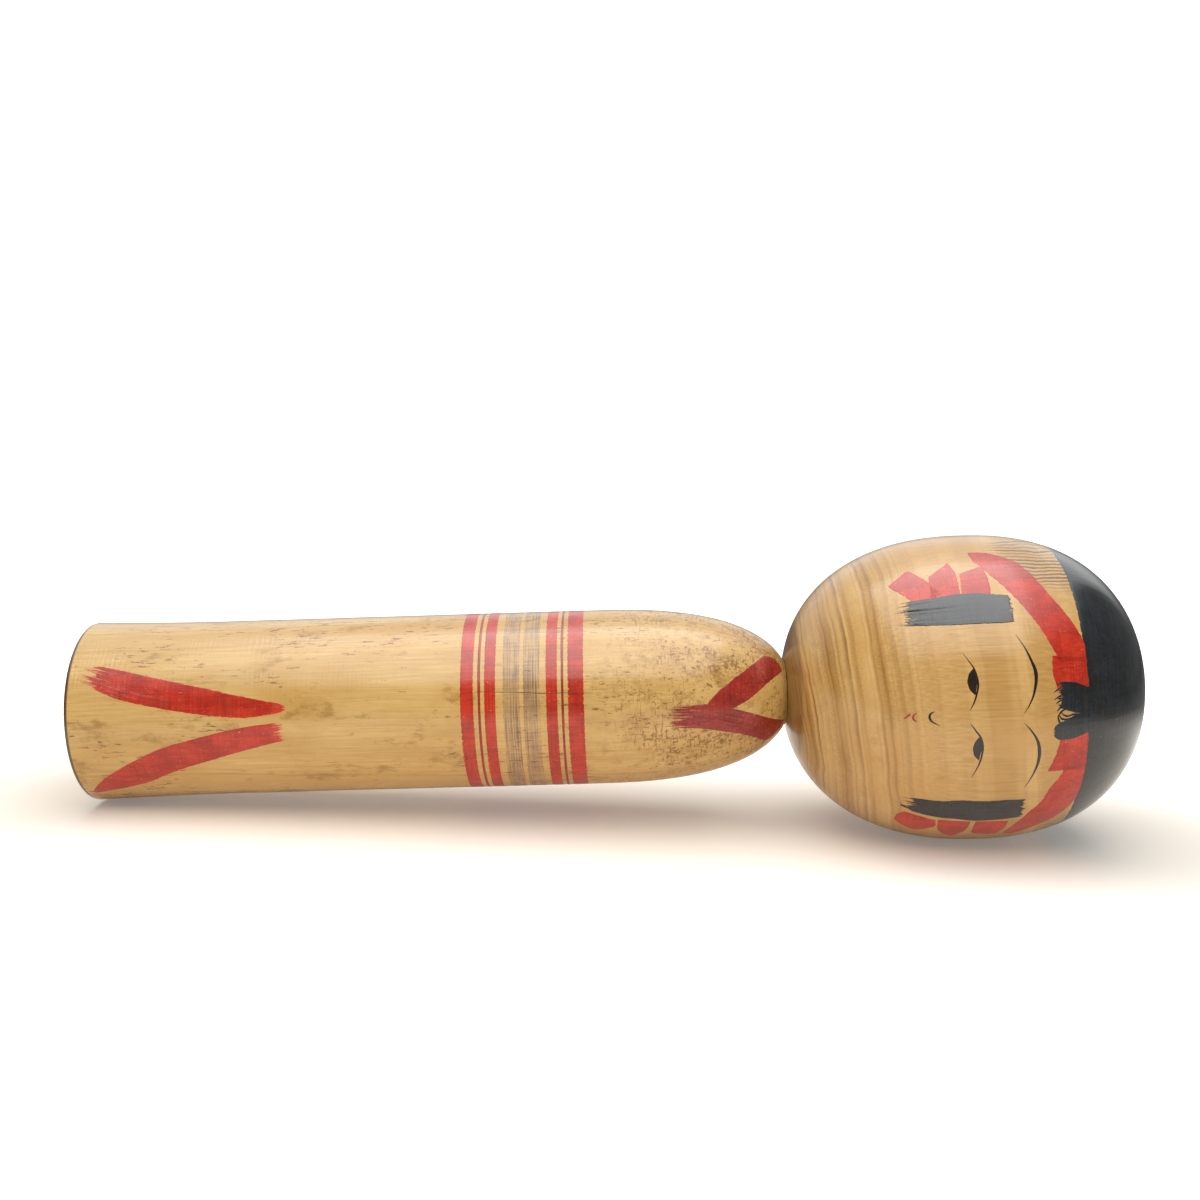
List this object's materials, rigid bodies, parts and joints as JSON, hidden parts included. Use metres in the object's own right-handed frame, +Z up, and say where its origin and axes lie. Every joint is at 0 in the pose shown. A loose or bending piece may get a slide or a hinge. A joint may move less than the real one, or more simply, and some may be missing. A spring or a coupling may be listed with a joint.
{
  "type": "kokeshi doll",
  "caption": "Turned wooden doll with a cylindrical body, rounded shoulder and a large round head whose neck peg plugs into the body so the head can be turned.",
  "frame": {"origin": "centre of the body's flat base, on the surface that the doll stands on", "axes": "+Z up the lathe axis from the base to the crown; the painted face looks along -Y; +X is on the right of a viewer who faces the doll"},
  "size_m": [0.087, 0.087, 0.3],
  "materials": {
    "wood_body": "turned pale hardwood, aged honey tone, waxed satin",
    "wood_head": "turned pale hardwood, aged honey tone, waxed to a soft gloss",
    "red_dye": "red dye brushed on wood, waxed",
    "black_ink": "black ink brushed on wood, waxed, glossy where it is thick",
    "purple_dye": "faded purple dye run on at the lathe, waxed"
  },
  "bodies": {
    "body": {"body": "wood_body"},
    "head": {"head": "wood_head"}
  },
  "joints": [
    {"name": "head_turn", "type": "hinge", "parent": "body", "child": "head", "pos_m": [0, 0, 0.2004], "axis": [0, 0, 1], "continuous": true}
  ]
}
